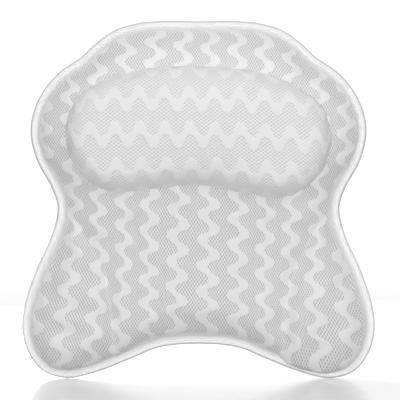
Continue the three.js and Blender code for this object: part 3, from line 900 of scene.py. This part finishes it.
def make_front_cushion(flat, faces):
    points = laid(flat, front_depth(flat))
    inset = nearest_on(flat, OUTLINE)[0]
    creased = valley(flat, CREASE, CREASE_WIDTH / 2)
    held = np.maximum(inset < SEAM_END + SEAM_FADE, CREASE_HOLD_SHARE * creased)
    moved = swollen(points, faces, held, BODY_SWELL_CAP)
    quads, fine, shift = refined(faces, REFINEMENTS, laid(flat, 0), moved)
    fine_flat = fine[:, [0, 2]]
    surface = laid(sagged(fine_flat), front_depth(fine_flat)) + shift
    pattern = body_pattern(fine_flat)
    surface += normals_of(surface, quads) * band_relief(pattern)[:, None]
    mesh = mesh_from("front_cushion", *closed_behind(surface, quads, BINDING_DEPTH + SEAT_GAP / 2))
    with_attribute(mesh, "cloth", pattern)
    cushion = piece("front_cushion", mesh, WAVE_MESH, "pillow")
    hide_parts("front_cover", "centre_pad", "left_wing_pad", "right_wing_pad")


def make_back_cushion(flat, faces):
    quads, fine = refined(faces, BACK_REFINEMENTS, laid(flat, 0))
    fine_flat = fine[:, [0, 2]]
    surface = laid(fine_flat, -back_depth(fine_flat))
    points, faces = closed_behind(surface, quads, -(BINDING_DEPTH - SEAT_GAP / 2))
    points[:, 1] *= -1
    mesh = mesh_from("back_cushion", points, [face[::-1] for face in faces])
    with_attribute(mesh, "cloth", back_pattern(fine_flat))
    cushion = piece("back_cushion", mesh, PLAIN_MESH, "pillow")
    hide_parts("back_cover")


# The headrest


def headrest_levels():
    """How far in and how high the rings of the headrest's flank are, from its foot up"""
    shoulder = HEADREST_PUFF - HEADREST_BULGE_HEIGHT - HEADREST_CROWN
    turns = np.radians(FLANK_TURNS_DEGREES)
    insets = [HEADREST_TUCK, HEADREST_TUCK * FLANK_TUCK_SHARE, *(HEADREST_FLANK_RUN * (1 - np.cos(turns)))]
    rises = [0, HEADREST_BULGE_HEIGHT / 2, *(HEADREST_BULGE_HEIGHT + shoulder * np.sin(turns))]
    return np.array(insets), np.array(rises)


def headrest_crown(inner, rise):
    """The flat points and faces inside the flank's last ring, and how high the crown is at each point"""
    flat, faces = cage([inner], CAGE_SPACING, CAGE_SPACING * HEADREST_CLEARANCE_SHARE)
    away = nearest_on(flat, inner)[0]
    pole = np.array([0, up(HEADREST_FOOT + HEADREST_POLE_SHARE * HEADREST_HEIGHT)])
    run = np.linalg.norm(flat - pole, axis=1) + away
    share = away / np.maximum(run, TINY)
    return flat, faces, rise + (HEADREST_PUFF - rise) * (1 - (1 - share) ** 2)


def gathered_rings(outline, insets):
    """The flank's rings, whose gathers fade from the foot up"""
    run = np.arange(len(outline)) * np.linalg.norm(outline[1] - outline[0])
    gather = HEADREST_GATHER * ripple(run, GATHER_LENGTHS, GATHER_SEED)
    fades = np.linspace(1, 0, len(insets) - 1)
    return [inset_ring(outline, inset + gather * fade) for inset, fade in zip(insets, fades)]


def make_headrest():
    outline = headrest_outline(HEADREST_CAGE_SIDES)
    insets, rises = headrest_levels()
    flat, faces, crown = headrest_crown(inset_ring(outline, insets[-1]), rises[-1])
    steps = np.hypot(np.diff(insets), np.diff(rises))
    unrolled = [inset_ring(outline, insets[-1] - steps[i:].sum()) for i in range(len(steps))]
    foot, *rings = gathered_rings(outline, insets)
    layers = [laid(flat, HEADREST_DEPTH + crown), laid(foot, front_depth(foot) - HEADREST_SINK)]
    layers += [laid(ring, HEADREST_DEPTH + rise) for ring, rise in zip(rings, rises[1:])]
    points = np.vstack(layers)
    count = len(outline)
    walls = ring_faces([*range(len(flat), len(points), count), 0], count)
    faces = [*faces.tolist(), *walls]
    held = np.zeros(len(points))
    held[len(flat):len(flat) + count] = 1
    moved = swollen(points, faces, held, HEADREST_SWELL_CAP)
    cloth = laid(np.vstack([flat, *unrolled]), 0)
    quads, surface, fine_cloth = refined(faces, REFINEMENTS, points + moved, cloth)
    pattern = headrest_pattern(fine_cloth[:, [0, 2]])
    surface += normals_of(surface, quads) * band_relief(pattern)[:, None]
    mesh = mesh_from("headrest_cushion", *closed_behind(surface, quads, FRONT_DEPTH - HEADREST_HIDDEN_DEPTH))
    with_attribute(mesh, "cloth", pattern)
    cushion = piece("headrest_cushion", mesh, HEADREST_MESH, "pillow")
    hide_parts("headrest_cover", "headrest_pad", "headrest_liner")


# The binding and its stitches

BINDING_REACH = SEAT_GAP / 2 + SEAM_THICKNESS + SEAT_GAP

# The tape's section from its inner edge round to the fold: insets in shares of the binding's width, and
# reaches in shares of the tape's thickness past its inner face
TAPE_SHARES = [
    [0.2, 0], [0.99, 0], [1.01, 0.25], [0.98, 0.6], [0.92, 0.76], [0.83, 0.76], [0.77, 0.68], [0.72, 0.25],
    [0.67, 0.15], [0.63, 0.3], [0.6, 0.95], [0.57, 1.2], [0.5, 1.28], [0.38, 1.26], [0.32, 1.14],
    [0.25, 0.78], [0.17, 0.3], [0.09, -0.35], [0.025, -1.05], [0, -1.875],
]
GROOVE_REACH_SHARE = 0.15
STITCH_INSET_SHARE = 0.67

# Where the tape's face is rolled over at the foot, in shares of the binding's width, and by how much
ROLL_INSET_SHARES = [0, 0.1, 0.33, 0.58]
ROLL_SHARES = [0, 1, 1, 0]

# A stitch's rings: their places in shares of its length, their girths and lifts in shares of its radius
STITCH_SHARES = [[0.02, 0.45, 0], [0.15, 0.9, 0.5], [0.5, 1, 0.9], [0.85, 0.9, 0.5], [0.98, 0.45, 0]]


def binding_section(outline, run):
    """Insets and depths of the tape's section at each place along the outline. Its ridge lies further out
    below the join, and the tape is narrower and rolled over at the foot."""
    join = nearest_on(np.array([BINDING_JOIN]), OUTLINE)[1][0]
    far = run[-1] - join
    below = smooth((run - join) / BINDING_TAPE) * smooth((far - run) / BINDING_LAP + 0.5)
    lap = smooth((join - run) / BINDING_TAPE + 1) * smooth((run - join) / BINDING_LAP + 1)
    pucker = PUCKER_HEIGHT * ripple(run, PUCKER_LENGTHS, PUCKER_SEED)
    edge = EDGE_WANDER * ripple(run, EDGE_WANDER_LENGTHS, EDGE_SEED)
    narrow = nearest_on(np.array([BINDING_NARROWING]), OUTLINE)[1][0]
    foot = smooth(inward(outline)[:, 1] * FOOT_STEEPNESS)
    width = 1 - NARROWING_SHARE * smooth(1 - abs(run - narrow) / NARROWING_RUN) - FOOT_NARROWING_SHARE * foot
    sections = []
    for side in (1, -1):
        shares = TAPE_SHARES if side == 1 else TAPE_SHARES[::-1]
        for inset_share, reach_share in shares:
            share = inset_share - RIDGE_SHIFT_SHARE * below * 4 * inset_share * (1 - min(inset_share, 1))
            inset = BINDING_WIDTH * share * width + edge * inset_share ** 3
            raised = (pucker * inset_share + BINDING_TAPE * LAP_RISE_SHARE * lap) * (reach_share > 0)
            rolled = FOOT_ROLL_SHARE * np.interp(inset_share, ROLL_INSET_SHARES, ROLL_SHARES) * foot
            reach = BINDING_REACH + BINDING_TAPE * (reach_share - rolled * (reach_share != 0))
            sections.append((inset, BINDING_DEPTH + side * (reach + raised)))
    return sections


def make_binding():
    outline = pillow_outline(BINDING_SIDES)
    run = run_along(outline)
    sections = binding_section(outline, run)
    points = np.vstack([laid(inset_ring(outline, inset), depth) for inset, depth in sections])
    steps = [np.hypot(np.mean(b[0] - a[0]), np.mean(b[1] - a[1])) for a, b in zip(sections, sections[1:])]
    across = np.concatenate([[0], np.cumsum(steps)])
    # Painted shade: a share that darkens the tape towards its fold at the outer edge
    fold_shades = [smooth((FOLD_SHADE_END - np.mean(inset)) / FOLD_SHADE_RUN) for inset, _ in sections]
    count = len(outline)
    tape = [np.column_stack([run, np.full((count, 2), pair)]) for pair in zip(across, fold_shades)]
    mesh = mesh_from("bound_edge", points, ring_faces([*range(0, len(points), count), 0], count))
    with_attribute(mesh, "tape", np.vstack(tape))
    binding = piece("bound_edge", mesh, TAPE, "pillow")
    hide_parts("edge_binding")


def stitch(start, end, out, radius):
    """Points and faces of a stitch between two points: an arched thread with round ends"""
    way = end - start
    side = np.cross(way, out)
    side /= np.linalg.norm(side)
    turns = np.arange(STITCH_SIDES)[:, None] * 2 * np.pi / STITCH_SIDES
    girth_way = np.cos(turns) * side + np.sin(turns) * out
    points = np.vstack([start + way * share + out * radius * lift + radius * girth * girth_way
                        for share, girth, lift in STITCH_SHARES])
    last = len(points) - STITCH_SIDES
    faces = ring_faces(range(last, -1, -STITCH_SIDES), STITCH_SIDES)
    return points, [*faces, tuple(range(STITCH_SIDES))[::-1], tuple(range(last, len(points)))]


def make_stitches(name, rows, radius):
    """Stitches from a list of their starts, ends and outward directions"""
    points, faces = joined(*(stitch(start, end, out, radius) for start, end, out in rows))
    piece(name, mesh_from(name, points, faces), THREAD, "pillow")


def binding_stitches(side):
    line = inset_ring(OUTLINE, BINDING_WIDTH * STITCH_INSET_SHARE)
    count = round(run_along(line)[-1] / STITCH_PITCH)
    depth = BINDING_DEPTH + side * (BINDING_REACH + BINDING_TAPE * GROOVE_REACH_SHARE + THREAD_LIFT)
    ends = laid(evenly_spaced(line, count * PITCH_STEPS), depth)
    out = np.array([0, -side, 0])
    return [(start, end, out) for start, end in zip(ends[::PITCH_STEPS], ends[STITCH_STEPS::PITCH_STEPS])]


# Cups and eyelets, which are turned about the depth axis


def turned(profile):
    """Points and faces of a profile of radii and depths, turned about the depth axis"""
    turns = np.arange(ROUND_SIDES) * 2 * np.pi / ROUND_SIDES
    points, rows, first = [], [], 0
    for radius, depth in profile:
        sides = ROUND_SIDES if radius > TINY else 1
        circle = radius * np.column_stack([np.cos(turns), np.zeros(ROUND_SIDES), np.sin(turns)])
        points.append(circle[:sides] - (0, depth, 0))
        rows.append([first + i % sides for i in range(ROUND_SIDES + 1)])
        first += sides
    faces = []
    for here, after in zip(rows, rows[1:]):
        for i in range(ROUND_SIDES):
            corners = [here[i], here[i + 1], after[i + 1], after[i]]
            faces.append(list(dict.fromkeys(corners)))
    return np.vstack(points), faces


HOLLOW_SHARES = [[0, 1], [0.45, 0.88], [0.78, 0.5], [1, 0]]
DOME_SHARES = [[1, 0.087], [0.8, 0.47], [0.46, 0.86], [0.15, 1]]
RIM_SHARE = 0.8


def cup_profile():
    hollow = spline(HOLLOW_SHARES, False)[::2] * (CUP_RADIUS - CUP_LAND, CUP_HOLLOW_DEPTH)
    dome = spline(DOME_SHARES, False)[::2] * (CUP_RADIUS, CUP_HEIGHT)
    top = HEAD_DEPTH + CUP_HEAD_HEIGHT
    return [
        *np.abs(hollow), [CUP_RADIUS - CUP_EASE, 0], [CUP_RADIUS, CUP_EASE],
        [CUP_RADIUS, CUP_RIM_THICKNESS * RIM_SHARE], *dome[1:],
        [CUP_NECK_RADIUS, CUP_HEIGHT + CUP_NECK_STEP], [CUP_NECK_RADIUS, HEAD_DEPTH],
        [CUP_HEAD_RADIUS - CUP_HEAD_EASE, HEAD_DEPTH], [CUP_HEAD_RADIUS, HEAD_DEPTH + CUP_HEAD_EASE],
        [CUP_HEAD_RADIUS, HEAD_DEPTH + CUP_HEAD_HEIGHT / 2],
        [CUP_NECK_RADIUS + CUP_HEAD_TAPER, top - CUP_EASE], [CUP_NECK_RADIUS, top], [0, top],
    ]


def slab(outline, low, high, ease):
    """A flat outline of x and z made thick, with its edges eased"""
    levels = ((ease, low), (0, low + ease), (0, high - ease), (ease, high))
    points = np.vstack([laid(inset_ring(outline, inset), depth) for inset, depth in levels])
    size = len(outline)
    last = len(points) - size
    faces = ring_faces(range(0, len(points), size), size)
    return points, [*faces, tuple(range(size)), tuple(range(last, len(points)))[::-1]]


def tab_outline():
    half = TAB_WIDTH / 2
    end = CUP_RADIUS + TAB_LENGTH - half
    root = CUP_LAND - CUP_RADIUS
    turns = np.linspace(0, np.pi, TAB_STEPS)
    tip = np.column_stack([half * np.cos(turns), -end - half * np.sin(turns)])
    return np.vstack([tip, [[-half, root], [half, root]]])


def tab_rib(index):
    """One of the ribs across the tab's face, for the finger's grip"""
    half = TAB_RIB_WIDTH / 2
    top = -CUP_RADIUS - TAB_RIB_GAP - index * TAB_RIB_PITCH
    low = top - TAB_RIB_THICKNESS
    face = TAB_LIFT + TAB_THICKNESS
    outline = np.array([[-half, top], [half, top], [half, low], [-half, low]])
    return slab(outline, face - TAB_RIB_SINK, face + TAB_RIB_RISE, RIB_EASE)


def cup_mesh(name, place):
    tab = slab(tab_outline(), TAB_LIFT, TAB_LIFT + TAB_THICKNESS, TAB_EASE)
    points, faces = joined(turned(cup_profile()), tab, *map(tab_rib, range(TAB_RIBS)))
    return solid_mesh(name, points + place, faces)


def eyelet_mesh(name, place):
    flange = BARREL_RADIUS + EYELET_FLANGE
    lip = BARREL_RADIUS + EYELET_LIP
    foot, end = EYELET_DEPTH + EYELET_FLANGE_THICKNESS, LIP_DEPTH + EYELET_LIP_THICKNESS
    mouth = [BORE_RADIUS + BORE_EASE, EYELET_DEPTH]
    points, faces = turned([
        mouth, *([flange - inset, EYELET_DEPTH + depth] for inset, depth in FLANGE_EASES),
        [flange, foot], [BARREL_RADIUS, foot], [BARREL_RADIUS, LIP_DEPTH], [lip, LIP_DEPTH],
        [lip, end - LIP_EASE], [lip - LIP_EASE, end], [BORE_RADIUS, end],
        [BORE_RADIUS, EYELET_DEPTH + BORE_EASE], mouth,
    ])
    return solid_mesh(name, points + place, faces)


def make_cups():
    for joint in frame["record"]["behaviour"]["joints"]:
        if not joint["name"].startswith("cup_swivel_"):
            continue
        name = joint["name"].removeprefix("cup_swivel_")
        place = np.array(joint["pos_m"]) / MM
        cup = piece("cup_" + name, cup_mesh("cup_" + name, place), VINYL, "cup_" + name)
        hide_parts("suction_cup_" + name)
        ring = piece("ring_" + name, eyelet_mesh("ring_" + name, place), PLASTIC, "pillow")
        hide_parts("eyelet_" + name)
        washer = frame["nodes"]["washer_" + name]
        washer.data.materials.clear()
        washer.data.materials.append(PLASTIC)


# The hanging loop and its patch

LOOP_HINGE_DEPTH = BACK_DEPTH - SEAT_GAP - RIBBON_THICKNESS
LOOP_HINGE_HEIGHT = PILLOW_HEIGHT - PATCH_DROP - SEAT_GAP - RIBBON_THICKNESS

# The open side of the loop from its stitching to its tip, in shares of its length and of its gap, its flat
# side in shares of its tip's height, and the ribbon's section in shares of its half thickness and width
LOOP_SHARES = [[0.32, 0.62], [0.52, 1], [0.76, 0.96], [0.93, 0.6]]
LOOP_FLAT_SHARES = [0.5, 0.85]
LOOP_TIP_SHARE = 0.7
RIBBON_SLIM_SHARE = 0.94
RIBBON_SHARES = [[-1, -0.95], [-1, 0.95], [-0.9, 1], [0.9, 1], [1, 0.95], [1, -0.95], [0.9, -1], [-0.9, -1]]

# The ends of the patch's six seams, a box and its diagonals, in shares of its stitched half width and height
PATCH_SEAM_SHARES = [
    [-1, -1, 1, -1], [1, -1, 1, 1], [1, 1, -1, 1], [-1, 1, -1, -1], [-1, -1, 1, 1], [-1, 1, 1, -1],
]


def patch_stitches(middle, depth):
    """The stitches of the seams round and across the patch"""
    reach = np.array([PATCH_WIDTH, PATCH_HEIGHT]) / 2 - PATCH_SEAM_INSET
    rows = []
    for shares in PATCH_SEAM_SHARES:
        start, end = laid(np.reshape(shares, (2, 2)) * reach + (0, middle), depth)
        count = round(np.linalg.norm(end - start) / PATCH_STITCH_PITCH)
        step = (end - start) / count
        rows += [(start + step * i, start + step * (i + PATCH_STITCH_SHARE), np.array([0, 1, 0]))
                 for i in range(count)]
    return rows


def make_patch():
    low = up(PILLOW_HEIGHT - PATCH_DROP)
    high = low + PATCH_HEIGHT
    half = PATCH_WIDTH / 2
    outline = np.array([[-half, high], [half, high], [half, low], [-half, low]])
    near = LOOP_HINGE_DEPTH - RIBBON_THICKNESS
    points, faces = slab(outline, near, near + 2 * RIBBON_THICKNESS, PATCH_EASE)
    mesh = solid_mesh("loop_tab", points, faces)
    with_attribute(mesh, "tape", points[:, [0, 2]])
    patch = piece("loop_tab", mesh, TAPE, "pillow", smooth_faces=False)
    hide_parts("loop_patch")
    rows = patch_stitches(low + PATCH_HEIGHT / 2, near + PATCH_THREAD_LIFT)
    make_stitches("loop_stitches", rows, PATCH_THREAD_RADIUS)


def loop_path():
    """The ribbon's middle line in depth away from the hinge and height under it: down the pillow's side,
    round the tip and back up to the stitched part"""
    tip = RIBBON_THICKNESS - LOOP_LENGTH
    half = RIBBON_THICKNESS / 2
    down = [[-half, -LOOP_STITCHING], *([-half, tip * share] for share in LOOP_FLAT_SHARES)]
    end = [[0, tip - half * LOOP_TIP_SHARE], [half + LOOP_TIP_BULGE, tip - half]]
    back = [[gap * LOOP_GAP + half, -run * LOOP_LENGTH] for run, gap in LOOP_SHARES[::-1]]
    return spline([*down, *end, *back, [half, -LOOP_STITCHING]], False)


def ribbon(hinge):
    """Points and faces of the loop's ribbon, and each point's place along and across it"""
    line = evenly_spaced(loop_path(), LOOP_STEPS, closed=False)
    along = np.gradient(line, axis=0)
    along /= np.linalg.norm(along, axis=1)[:, None]
    points, tape = [], []
    for (depth, height), (depth_way, height_way), run in zip(line, along, run_along(line)):
        for thick_share, wide_share in RIBBON_SHARES:
            off = thick_share * RIBBON_THICKNESS / 2 * RIBBON_SLIM_SHARE
            side = wide_share * RIBBON_WIDTH / 2
            points.append(hinge + (side, depth - height_way * off, height + depth_way * off))
            tape.append([run, side])
    size = len(RIBBON_SHARES)
    last = len(points) - size
    faces = ring_faces(range(last, -1, -size), size)
    return np.array(points), [*faces, tuple(range(size)), tuple(range(last, len(points)))], tape


def stitched_part(hinge):
    """The stitched part of the loop: both runs of the ribbon with a round top at the hinge"""
    turns = np.linspace(0, np.pi, LOOP_TOP_STEPS)
    arch = RIBBON_THICKNESS * np.column_stack([np.cos(turns), np.sin(turns)])
    side = np.vstack([arch, [[-RIBBON_THICKNESS, -LOOP_STITCHING], [RIBBON_THICKNESS, -LOOP_STITCHING]]])
    half = RIBBON_WIDTH / 2
    points = np.vstack([[hinge + (x, y, z) for y, z in side] for x in (-half, half)])
    size = len(side)
    return points, [*ring_faces([size, 0], size), tuple(range(size)), tuple(range(size, 2 * size))]


def make_loop():
    hinge = np.array([0, -LOOP_HINGE_DEPTH, up(LOOP_HINGE_HEIGHT)])
    points, faces, tape = ribbon(hinge)
    stitched = stitched_part(hinge)
    mesh = solid_mesh("ribbon_loop", *joined((points, faces), stitched))
    with_attribute(mesh, "tape", np.vstack([tape, stitched[0][:, [2, 0]]]))
    loop = piece("ribbon_loop", mesh, TAPE, "loop")
    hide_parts("hanging_loop")


# Floor, light and camera

FLOOR_DROP = 0.2
WORLD_LOW = 0.02
WORLD_HIGH = 0.47
WORLD_BRIGHT_SIDE = (0, -0.83, 0.56)
CAMERA_DISTANCE = 2200
CAMERA_SIDE = 1.6
AIM_HEIGHT = 14
FRAME_WIDTH = 431.3
SENSOR = 36
VIEW_RANGE = 20000
FLOOR_HALF = 9000
FLOOR_GLOW = 0.12
BACKDROP = 1.1
FILL_SIZE = 420
BACK_LIGHT_SIZE = 800

# Each lamp's place, size and power, and whether it leaves the floor out
LAMPS = {
    "front_light": ((40, -750, 200), FILL_SIZE, 0.7, False),
    "left_fill": ((-920, -530, 0), FILL_SIZE, 2.2, True),
    "right_fill": ((920, -530, 0), FILL_SIZE, 2.3, True),
    "top_fill": ((0, -480, 740), FILL_SIZE, 2, True),
    "low_fill": ((0, -650, -680), FILL_SIZE, 1.9, True),
    "back_light": ((-500, 1300, 300), BACK_LIGHT_SIZE, 21, False),
}


def make_floor():
    half, height = FLOOR_HALF, up(0) - FLOOR_DROP
    corners = [[-half, -half, height], [half, -half, height], [half, half, height], [-half, half, height]]
    mesh = mesh_from("floor", corners, [(0, 1, 2, 3)])
    glow = {"Emission_Color": tone(1), "Emission_Strength": FLOOR_GLOW}
    finish = Finish("pale_floor", Specular_IOR_Level=0.15, **glow)
    place = finish.node("ShaderNodeNewGeometry", {}).outputs["Position"]
    cloud = finish.noise(place, 3, 2)
    colour = finish.mixed(cloud, tone(0.9), tone(0.92))
    mesh.materials.append(finish.done(colour, finish.scaled(cloud, 0.13, 0.18)))
    floor = linked("floor", mesh)
    floor.visible_diffuse = False
    return floor


def add_light(name, place, size, power, skipped):
    """A disk lamp that faces the origin. With an object to skip, it casts no shadow and leaves that unlit."""
    data = bpy.data.lights.new(name, "AREA")
    data.shape = "DISK"
    data.size = size * MM
    data.energy = power
    light = linked(name, data)
    if skipped:
        data.use_shadow = False
        receivers = bpy.data.collections.new(name + "_receivers")
        receivers.objects.link(skipped)
        receivers.collection_objects[0].light_linking.link_state = "EXCLUDE"
        light.light_linking.receiver_collection = receivers
    light.location = Vector(place) * MM
    light.rotation_euler = (Vector() - Vector(place)).to_track_quat("-Z", "Y").to_euler()
    light.visible_camera = False


def make_world():
    """A pale world that lights the scene most from the front and above, before an even backdrop"""
    world = bpy.data.worlds.new("pale_world")
    bpy.context.scene.world = world
    world.use_nodes = True
    tree = world.node_tree
    way = add_node(tree, "ShaderNodeTexCoord", {}).outputs["Generated"]
    facing = add_node(tree, "ShaderNodeVectorMath", {0: way, 1: WORLD_BRIGHT_SIDE}, operation="DOT_PRODUCT")
    strength = add_node(tree, "ShaderNodeMapRange", {
        "Value": facing.outputs["Value"], "From Min": -1, "To Min": WORLD_LOW, "To Max": WORLD_HIGH})
    lighting = add_node(tree, "ShaderNodeBackground", {"Color": tone(1), "Strength": strength.outputs[0]})
    backdrop = add_node(tree, "ShaderNodeBackground", {"Color": tone(1), "Strength": BACKDROP})
    soft = add_node(tree, "ShaderNodeLightPath", {}).outputs["Is Diffuse Ray"]
    either = add_node(tree, "ShaderNodeMixShader", {0: soft, 1: backdrop.outputs[0], 2: lighting.outputs[0]})
    tree.links.new(either.outputs[0], tree.nodes["World Output"].inputs["Surface"])


def make_camera():
    data = bpy.data.cameras.new("camera")
    data.sensor_width = SENSOR
    aim = Vector((CAMERA_SIDE, -BINDING_DEPTH, AIM_HEIGHT)) * MM
    data.lens = SENSOR * CAMERA_DISTANCE / FRAME_WIDTH
    data.clip_end = VIEW_RANGE * MM
    camera = linked("camera", data)
    camera.location = aim - Vector((0, CAMERA_DISTANCE * MM, 0))
    camera.rotation_euler = (math.radians(90), 0, 0)
    bpy.context.scene.camera = camera


make_camera()
floor = make_floor()
make_world()
for lamp, (place, size, power, skips_floor) in LAMPS.items():
    add_light(lamp, place, size, power, floor if skips_floor else None)
cage_points, cage_faces = body_cage()
make_front_cushion(cage_points, cage_faces)
make_back_cushion(cage_points, cage_faces)
make_headrest()
make_binding()
make_stitches("front_stitches", binding_stitches(1), THREAD_RADIUS)
make_stitches("back_stitches", binding_stitches(-1), THREAD_RADIUS)
make_cups()
make_patch()
make_loop()

bpy.context.scene.view_settings.view_transform = "Standard"
